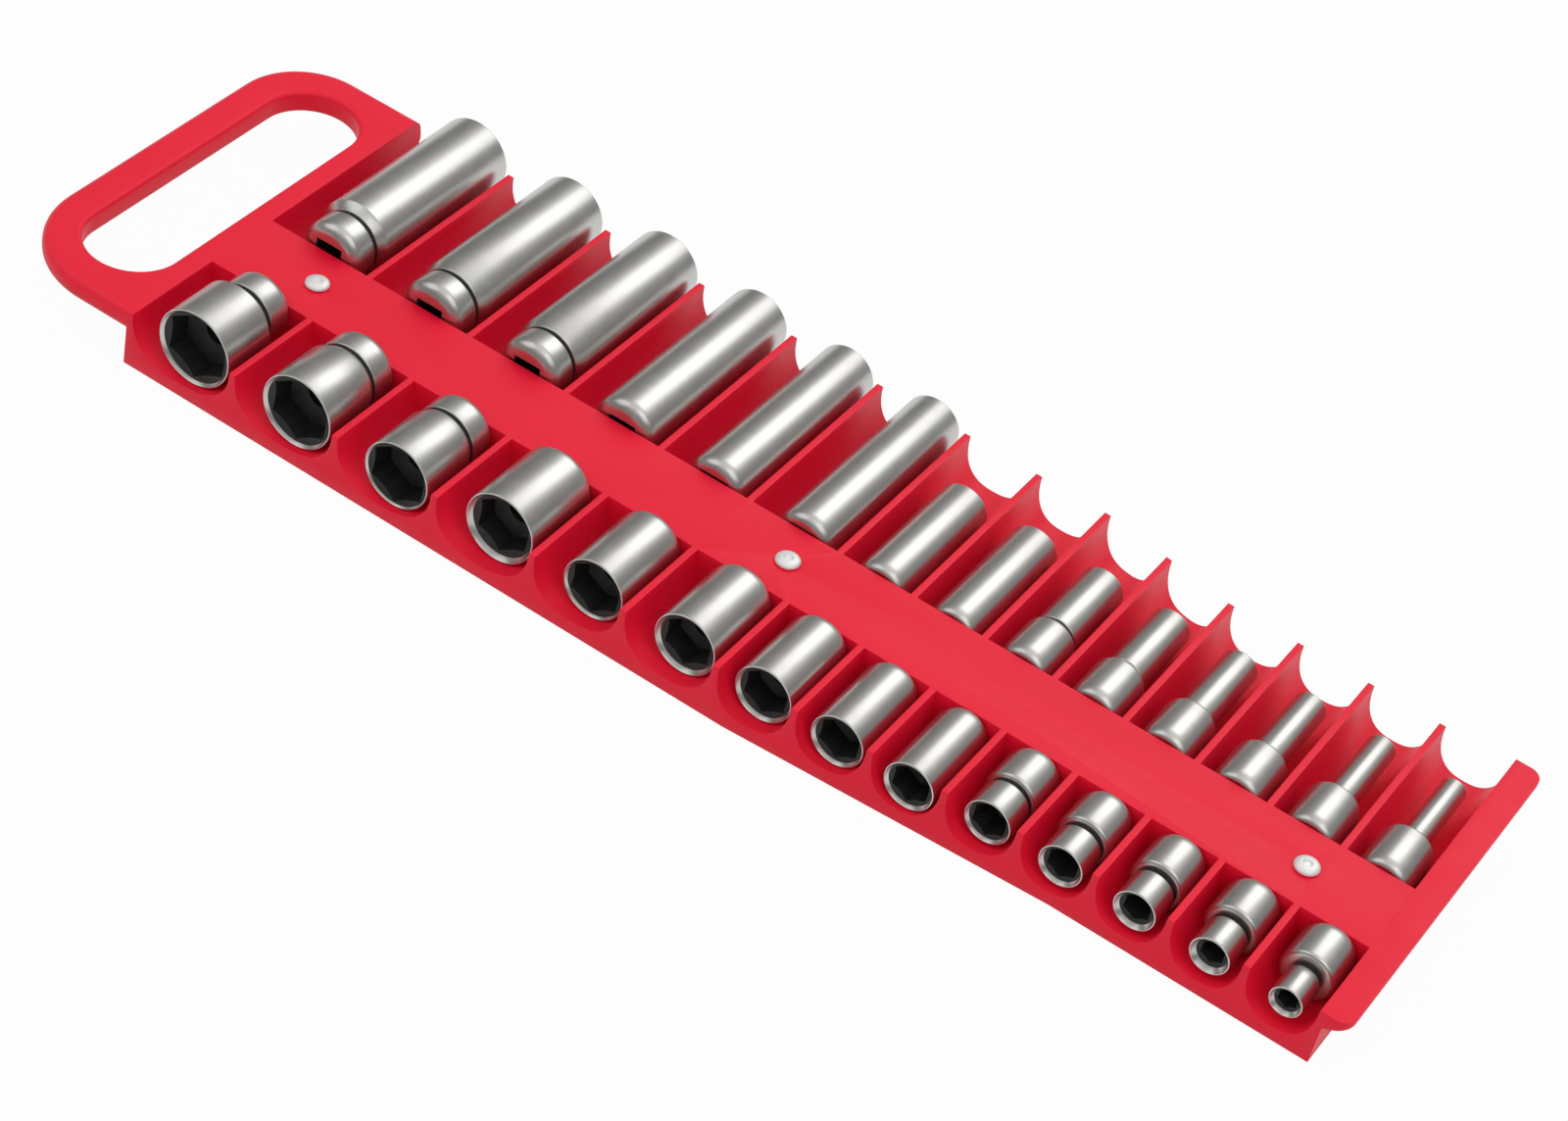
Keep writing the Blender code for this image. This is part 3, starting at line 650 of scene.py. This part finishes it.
def make_handle():
    bm = bmesh.new()
    low = TRAY_HEIGHT - HANDLE_THICKNESS
    outer = add_outline_wall(bm, handle_outline(), low, TRAY_HEIGHT, HANDLE_EDGE_ROUND, 1)
    inner = add_outline_wall(bm, slot_outline(), low, TRAY_HEIGHT, SLOT_EDGE_ROUND, -1)
    fill_between(bm, outer[0], inner[0])
    fill_between(bm, outer[1], inner[1])
    return new_object("handle_plate", bm)


def make_flange():
    tip = ROW_LENGTH + FLANGE_REACH
    root = ROW_LENGTH + END_WALL
    start = ROW_LENGTH - FLANGE_LAP
    section = [
        (start, TRAY_HEIGHT - FLANGE_ROOT_THICKNESS),
        (root, TRAY_HEIGHT - FLANGE_ROOT_THICKNESS),
        (tip, TRAY_HEIGHT - FLANGE_EDGE_THICKNESS),
        (tip, TRAY_HEIGHT),
        (start, TRAY_HEIGHT),
    ]
    bm = bmesh.new()
    front = [bm.verts.new((x, FRONT_WAIST - FRONT_REACH, z)) for x, z in section]
    rear = [bm.verts.new((x, FLANGE_REAR_REACH, z)) for x, z in section]
    skin_prism(bm, front, rear)
    tip_corners = [bm.edges.get((ring[2], ring[3])) for ring in (front, rear)]
    bmesh.ops.bevel(
        bm,
        geom=tip_corners,
        offset=FLANGE_CORNER,
        segments=EDGE_FACETS,
        profile=ROUND_PROFILE_SHARE,
        affect="EDGES",
    )
    return new_object("end_flange", bm)


def trough_section(width):
    """A trough's rounded section and its open top, as places across the trough and heights."""
    depth = TRAY_HEIGHT - TROUGH_FLOOR_HEIGHT
    points = []
    for step in range(TROUGH_FACETS + 1):
        angle = math.pi * step / TROUGH_FACETS
        across = math.copysign(abs(math.cos(angle)) ** (2 / TROUGH_SECTION_POWER), math.cos(angle))
        down = math.sin(angle) ** (2 / TROUGH_SECTION_POWER)
        points.append((-across * width / 2, TRAY_HEIGHT - down * depth))
    points.append((width / 2, TRAY_HEIGHT + OVERRUN))
    points.append((-width / 2, TRAY_HEIGHT + OVERRUN))
    return points


def make_trough_cutter(side):
    """One row of troughs: side is -1 for the row in front of the band and 1 for the row behind it."""
    reach = FRONT_REACH if side < 0 else HANDLE_REAR_REACH
    bm = bmesh.new()
    for index in range(SOCKET_COUNT):
        middle = trough_middle(index)
        section = trough_section(TROUGH_WIDTHS[index])
        near = [bm.verts.new((middle + x, side * BAND_WIDTH / 2, z)) for x, z in section]
        far = [bm.verts.new((middle + x, side * (reach + OVERRUN), z)) for x, z in section]
        skin_prism(bm, near, far)
    return new_object("trough_cutter", bm)


def make_rivet_hole_cutter():
    bm = bmesh.new()
    for place in rivet_places():
        points = circle_points(place, 0.0, RIVET_SHANK_DIAMETER / 2 + SEAT_GAP, RIVET_SIDES)
        prism(bm, points, 0.0, TRAY_HEIGHT + OVERRUN)
    return new_object("rivet_hole_cutter", bm)


def make_channel_cutter():
    half_width = BAND_WIDTH / 2 - CHANNEL_WALL
    far = ROW_LENGTH - CHANNEL_END_MARGIN
    bm = bmesh.new()
    box(bm, CHANNEL_END_MARGIN, far, -half_width, half_width, -OVERRUN, TRAY_HEIGHT - BAND_SKIN)
    return new_object("channel_cutter", bm)


def make_pocket_cutter():
    """The pockets of the magnets: one in front of the band, and one behind it."""
    x_low = MAGNET_END_MARGIN - SEAT_GAP
    x_high = ROW_LENGTH - MAGNET_END_MARGIN + SEAT_GAP
    near = BAND_WIDTH / 2 + MAGNET_BAND_MARGIN - SEAT_GAP
    front = FRONT_REACH - FRONT_WAIST - FRONT_MAGNET_MARGIN + SEAT_GAP
    rear = REAR_REACH - REAR_WAIST - REAR_MAGNET_MARGIN + SEAT_GAP
    depth = MAGNET_RECESS + MAGNET_THICKNESS + SEAT_GAP
    bm = bmesh.new()
    for y_low, y_high in ((-front, -near), (near, rear)):
        box(bm, x_low, x_high, y_low, y_high, -OVERRUN, depth)
    return new_object("pocket_cutter", bm)


def round_edges(obj):
    modifier = obj.modifiers.new("edge_round", "BEVEL")
    modifier.width = TRAY_EDGE_ROUND
    modifier.segments = TRAY_EDGE_FACETS
    modifier.limit_method = "ANGLE"
    modifier.angle_limit = BEVEL_ANGLE
    modifier.miter_outer = "MITER_ARC"
    apply_modifiers(obj)


def make_tray(material):
    tray = make_body()
    combine(tray, make_handle(), "UNION")
    combine(tray, make_flange(), "UNION")
    combine(tray, make_trough_cutter(-1), "DIFFERENCE")
    combine(tray, make_trough_cutter(1), "DIFFERENCE")
    combine(tray, make_channel_cutter(), "DIFFERENCE")
    combine(tray, make_rivet_hole_cutter(), "DIFFERENCE")
    combine(tray, make_pocket_cutter(), "DIFFERENCE")
    round_edges(tray)
    mesh = tray.data
    mesh.materials.clear()
    mesh.materials.append(material)
    smooth_between_sharp_edges(mesh)
    tray.location = (ROW_X, BAND_Y, 0.0)
    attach(tray, "rail")
    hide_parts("tray")


# The sockets, each in its own axes, with Y from its drive face to its nose

# The order of a socket's two materials: the plated one, then the near-black one that is painted shade
PLATED_SLOT = 0
PAINTED_SHADE_SLOT = 1


def axis_ring(bm, radius_at, along_at):
    """A ring about the Y axis. Its radius and its place along the axis may vary with the angle."""
    ring = []
    for step in range(SOCKET_SIDES):
        angle = math.tau * step / SOCKET_SIDES
        radius = radius_at(angle) if callable(radius_at) else radius_at
        along = along_at(angle) if callable(along_at) else along_at
        ring.append(bm.verts.new((radius * math.cos(angle), along, radius * math.sin(angle))))
    return ring


def polygon_radius(sides, apothem):
    """Distance from the axis to the side of a polygon, as a function of the angle."""
    sector = math.tau / sides

    def radius(angle):
        return apothem / math.cos((angle + sector / 2) % sector - sector / 2)
    return radius


def rounded_rim(radius, edge, along, direction):
    """Points of a rim's rounding, from the end face out to the side. direction points into the socket."""
    points = []
    for angle in quarter_turn(RIM_FACETS):
        past_face = edge * (1 - math.cos(angle))
        points.append((radius - edge * (1 - math.sin(angle)), along + direction * past_face))
    return points


def drive_end(socket):
    """Points of the drive end's rounding, a quarter of an ellipse from the drive face to the side."""
    wall = socket.drive_radius - SQUARE_DRIVE / math.sqrt(2)
    points = []
    for angle in quarter_turn(DRIVE_ROUND_FACETS):
        radius = socket.drive_radius - wall * DRIVE_ROUND_SHARE * (1 - math.sin(angle))
        points.append((radius, DRIVE_ROUND_LENGTH * (1 - math.cos(angle))))
    return points


def outer_profile(socket):
    """Radius and place along the axis, from the drive face over the outside to the nose."""
    nose = socket.nose_radius
    drive = socket.drive_radius
    neck = socket.neck_radius()
    groove_end = socket.drive_length + GROOVE_WIDTH
    middle = []
    if socket.shape == "grooved":
        middle += rounded_rim(drive, EDGE_ROUND, socket.drive_length, -1)[::-1]
        middle += [(neck, socket.drive_length), (neck, groove_end)]
        middle += rounded_rim(drive, EDGE_ROUND, groove_end, 1)
        middle += [(nose, groove_end + SHOULDER_LENGTH)]
    elif socket.shape == "stepped":
        middle += rounded_rim(drive, min(STEP_ROUND, drive - neck), socket.drive_length, -1)[::-1]
        middle += [(neck, socket.drive_length), (neck, groove_end)]
        middle += rounded_rim(nose, EDGE_ROUND, groove_end, 1)
    return drive_end(socket) + middle + rounded_rim(nose, RIM_ROUND, socket.length, -1)[::-1]


def skin_outside(bm, socket):
    """Skin the turned outside, and return its first ring, at the drive end, and its last, at the nose."""
    profile = outer_profile(socket)
    rings = [axis_ring(bm, radius, along) for radius, along in profile]
    for index, (lower, upper) in enumerate(zip(rings, rings[1:])):
        # The floor of the groove, or of the undercut below the step, takes the near-black material: painted
        # shade
        in_groove = profile[index][0] == profile[index + 1][0] == socket.neck_radius()
        skin_rings(bm, lower, upper, PAINTED_SHADE_SLOT if in_groove else PLATED_SLOT)
    return rings[0], rings[-1]


def skin_inside(bm, socket, drive_ring, nose_ring):
    """Skin the chamfered mouth, the hexagon, the bore and the square drive, from the nose on."""
    hex_width = socket.hex_size + HEX_CLEARANCE
    hexagon = polygon_radius(HEX_SIDES, hex_width / 2)
    square = polygon_radius(SQUARE_SIDES, SQUARE_DRIVE / 2)
    corner = hex_width / math.sqrt(3)
    face = socket.nose_radius - RIM_ROUND
    mouth = corner + MOUTH_SHARE * (face - corner)
    chamfer = corner + CHAMFER_SHARE * (face - corner)
    chamfer_end = socket.length - (mouth - chamfer) / math.tan(CHAMFER_ANGLE)
    hex_floor = socket.length - socket.hex_depth

    def flare_end(angle):
        return chamfer_end - (chamfer - hexagon(angle)) / math.tan(FLARE_ANGLE)

    def drive_mouth(angle):
        return square(angle) + DRIVE_MOUTH

    plated = [nose_ring, axis_ring(bm, mouth, socket.length), axis_ring(bm, chamfer, chamfer_end)]
    # From the chamfer's foot inwards, the flare, hexagon, bore and square drive take the near-black
    # material: painted shade of the socket's depth
    painted_shade = [
        plated[-1],
        axis_ring(bm, hexagon, flare_end),
        axis_ring(bm, hexagon, hex_floor),
        axis_ring(bm, socket.bore_radius, hex_floor - BORE_CONE),
        axis_ring(bm, socket.bore_radius, SQUARE_DEPTH + BORE_CONE),
        axis_ring(bm, square, SQUARE_DEPTH),
        axis_ring(bm, square, DRIVE_MOUTH),
        axis_ring(bm, drive_mouth, 0.0),
    ]
    skin_in_turn(bm, plated, PLATED_SLOT)
    skin_in_turn(bm, painted_shade, PAINTED_SHADE_SLOT)
    skin_rings(bm, painted_shade[-1], drive_ring, PLATED_SLOT)


# The second material is near-black painted shade for the socket's groove and inside
def make_socket(socket, chrome, painted_shade):
    bm = bmesh.new()
    drive_ring, nose_ring = skin_outside(bm, socket)
    skin_inside(bm, socket, drive_ring, nose_ring)
    piece = new_object(socket.node + "_turned", bm, chrome, painted_shade)
    side = 1 if socket.deep else -1
    piece.location = (
        ROW_X + socket_place(socket.index),
        BAND_Y + side * (BAND_WIDTH / 2 + SOCKET_BAND_GAP),
        TROUGH_FLOOR_HEIGHT + SEAT_GAP + socket.largest_radius(),
    )
    piece.rotation_euler.z = 0.0 if socket.deep else math.pi
    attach(piece, socket.node)
    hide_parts(socket.node)


# The rivets


def rivet_profile():
    """Radius and height, from the dimple's floor over the head and down the shank to the tail."""
    head = RIVET_HEAD_DIAMETER / 2
    shank = RIVET_SHANK_DIAMETER / 2
    dimple = RIVET_DIMPLE_DIAMETER / 2
    seat = TRAY_HEIGHT + RIVET_LIFT
    top = TRAY_HEIGHT + SEAT_GAP + RIVET_HEAD_HEIGHT
    side = seat + RIVET_EDGE_ROUND
    tail = TRAY_HEIGHT - BAND_SKIN - STRIP_THICKNESS - 2 * SEAT_GAP
    points = [(dimple - RIVET_DIMPLE_ROUND, top - RIVET_DIMPLE_DEPTH), (dimple, top - RIVET_DIMPLE_ROUND)]
    crown = dimple + RIVET_DIMPLE_ROUND
    for angle in quarter_turn(DOME_FACETS):
        points.append((crown + (head - crown) * math.sin(angle), side + (top - side) * math.cos(angle)))
    points += [(head - RIVET_EDGE_ROUND, seat), (shank, seat), (shank, tail)]
    points += [(RIVET_TAIL_DIAMETER / 2, tail), (shank, tail - RIVET_TAIL_LENGTH)]
    return points


def make_rivet(node, place, material):
    bm = bmesh.new()
    rings = []
    for radius, height in rivet_profile():
        rings.append(add_ring(bm, circle_points(0.0, 0.0, radius, RIVET_SIDES), height))
    skin_in_turn(bm, rings)
    bm.faces.new(rings[0])
    bm.faces.new(rings[-1])
    rivet = new_object(node + "_turned", bm, material)
    rivet.location = (ROW_X + place, BAND_Y, 0.0)
    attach(rivet, "rail")
    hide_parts(node)


# The stage

FLOOR_SIZE = 24.0
FLOOR_COLOUR = (0.52, 0.52, 0.52, 1.0)
FLOOR_OWN_WHITE_SHARE = 0.97
AMBIENT_STRENGTH = 0.84
# How high above the horizon the white haze of the sky ends, as a share of straight up
HAZE_HEIGHT = 0.05
HAZE_STOPS = ((0.0, (1.0, 1.0, 1.0)), (HAZE_HEIGHT, (0.0, 0.0, 0.0)))
# How nearly a direction points at the key light, as a cosine, and the sky's colour there
SKY_STOPS = (
    (0.35, (0.24, 0.24, 0.235)),
    (0.78, (0.41, 0.41, 0.40)),
    (0.95, (0.98, 0.98, 0.96)),
)
SKY_REACH_SCALE = Vector((1.0, 0.30, 1.0))
KEY_POWER = 2.5
KEY_SIZE = 0.8
KEY_PLACE = Vector((0.12, 1.02, 1.06))
LEFT_FILL_POWER = 20.5
RIGHT_FILL_POWER = 21.5
FILL_SIZE = 2.8
LEFT_FILL_PLACE = Vector((-2.4, -1.25, 2.9))
RIGHT_FILL_PLACE = Vector((2.3, -1.1, 3.1))


def seen_directly(tree):
    """1 for camera, glossy and transmission rays, which see the white background, and 0 for others."""
    path = add_node(tree, "ShaderNodeLightPath")
    total = path.outputs["Is Camera Ray"]
    for name in ("Is Glossy Ray", "Is Transmission Ray"):
        larger = add_node(tree, "ShaderNodeMath", operation="MAXIMUM")
        tree.links.new(total, larger.inputs[0])
        tree.links.new(path.outputs[name], larger.inputs[1])
        total = larger.outputs[0]
    return total


def cleared_nodes(owner):
    """The empty node tree of a material or a world."""
    owner.use_nodes = True
    owner.node_tree.nodes.clear()
    return owner.node_tree


def show_mix(tree, output_kind, share, first, second):
    """Send to the output the first shader where the share is 0 and the second where it is 1."""
    mix = add_node(tree, "ShaderNodeMixShader")
    tree.links.new(share, mix.inputs[0])
    tree.links.new(first.outputs[0], mix.inputs[1])
    tree.links.new(second.outputs[0], mix.inputs[2])
    tree.links.new(mix.outputs[0], add_node(tree, output_kind).inputs["Surface"])


def make_pale_floor_material():
    """Pale and matt for the light, and nearly its own white for the rays that see the background."""
    material = bpy.data.materials.new("pale_floor")
    tree = cleared_nodes(material)
    diffuse = add_node(tree, "ShaderNodeBsdfDiffuse")
    diffuse.inputs["Color"].default_value = FLOOR_COLOUR
    own_white = add_node(tree, "ShaderNodeEmission")
    share = add_node(tree, "ShaderNodeMath", operation="MULTIPLY")
    share.inputs[1].default_value = FLOOR_OWN_WHITE_SHARE
    tree.links.new(seen_directly(tree), share.inputs[0])
    show_mix(tree, "ShaderNodeOutputMaterial", share.outputs[0], diffuse, own_white)
    return material


def make_floor():
    bm = bmesh.new()
    bmesh.ops.create_grid(bm, x_segments=1, y_segments=1, size=FLOOR_SIZE / 2)
    mesh = bpy.data.meshes.new("studio_floor")
    bm.to_mesh(mesh)
    bm.free()
    mesh.materials.append(make_pale_floor_material())
    add_object("studio_floor", mesh)


def sky_colour(tree):
    """A white haze at the horizon, and a glow round the key light that reaches far to either side."""
    direction = add_node(tree, "ShaderNodeTexCoord").outputs["Generated"]
    height = add_node(tree, "ShaderNodeSeparateXYZ")
    tree.links.new(direction, height.inputs[0])
    haze = colour_ramp(tree, height.outputs["Z"], HAZE_STOPS)
    squashed = add_node(tree, "ShaderNodeVectorMath", operation="MULTIPLY")
    squashed.inputs[1].default_value = SKY_REACH_SCALE
    tree.links.new(direction, squashed.inputs[0])
    along = add_node(tree, "ShaderNodeVectorMath", operation="NORMALIZE")
    tree.links.new(squashed.outputs["Vector"], along.inputs[0])
    towards_key = add_node(tree, "ShaderNodeVectorMath", operation="DOT_PRODUCT")
    towards_key.inputs[1].default_value = (KEY_PLACE * SKY_REACH_SCALE).normalized()
    tree.links.new(along.outputs["Vector"], towards_key.inputs[0])
    glow = colour_ramp(tree, towards_key.outputs["Value"], SKY_STOPS)
    lighter = add_node(tree, "ShaderNodeMix", data_type="RGBA", blend_type="LIGHTEN")
    lighter.inputs["Factor"].default_value = 1.0
    tree.links.new(haze, lighter.inputs["A"])
    tree.links.new(glow, lighter.inputs["B"])
    return lighter.outputs["Result"]


def make_world():
    """Even light for the surfaces, and the sky for the rays that see the background."""
    world = bpy.data.worlds.new("studio")
    bpy.context.scene.world = world
    tree = cleared_nodes(world)
    ambient = add_node(tree, "ShaderNodeBackground")
    ambient.inputs["Strength"].default_value = AMBIENT_STRENGTH
    sky = add_node(tree, "ShaderNodeBackground")
    tree.links.new(sky_colour(tree), sky.inputs["Color"])
    show_mix(tree, "ShaderNodeOutputWorld", seen_directly(tree), ambient, sky)


def make_area_light(name, place, power, size):
    """A square lamp that points at the middle of the floor."""
    light = bpy.data.lights.new(name, "AREA")
    light.energy = power
    light.shape = "SQUARE"
    light.size = size
    lamp = add_object(name, light)
    lamp.location = place
    lamp.rotation_euler = (-place).to_track_quat("-Z", "Y").to_euler()


def make_camera():
    data = bpy.data.cameras.new("photo_camera")
    data.sensor_width = SENSOR_WIDTH
    data.lens = FOCAL_PIXELS * SENSOR_WIDTH / PHOTO_WIDTH
    data.clip_start = CAMERA_NEAREST
    data.clip_end = CAMERA_FARTHEST
    camera = add_object("photo_camera", data)
    middle_rivet = Vector((ROW_X + rivet_places()[1], BAND_Y, TRAY_HEIGHT))
    axes = Matrix((CAMERA_RIGHT, CAMERA_UP, CAMERA_BACK)).transposed()
    camera.matrix_world = Matrix.Translation(middle_rivet + CAMERA_FROM_MIDDLE_RIVET) @ axes.to_4x4()
    bpy.context.scene.camera = camera


def finish_kept_nodes():
    """The CAD's own magnets and steel strip stay, and get their materials here."""
    magnet_rubber = make_magnet_rubber()
    finishes = {
        "front_magnet_strip": magnet_rubber,
        "rear_magnet_strip": magnet_rubber,
        "steel_strip": make_zinc_steel(),
    }
    for node, material in finishes.items():
        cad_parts[node].material_slots[0].material = material


def main():
    satin_chrome = make_satin_chrome()
    painted_shade_bore = make_painted_shade_bore()
    aluminium = make_aluminium()
    make_tray(make_red_plastic())
    for number, place in enumerate(rivet_places(), start=1):
        make_rivet(f"rivet_{number}", place, aluminium)
    for socket in SHALLOW_SOCKETS + DEEP_SOCKETS:
        make_socket(socket, satin_chrome, painted_shade_bore)
    finish_kept_nodes()
    make_floor()
    make_world()
    make_area_light("key_light", KEY_PLACE, KEY_POWER, KEY_SIZE)
    make_area_light("left_fill_light", LEFT_FILL_PLACE, LEFT_FILL_POWER, FILL_SIZE)
    make_area_light("right_fill_light", RIGHT_FILL_PLACE, RIGHT_FILL_POWER, FILL_SIZE)
    make_camera()
    bpy.context.scene.view_settings.view_transform = "Standard"


main()
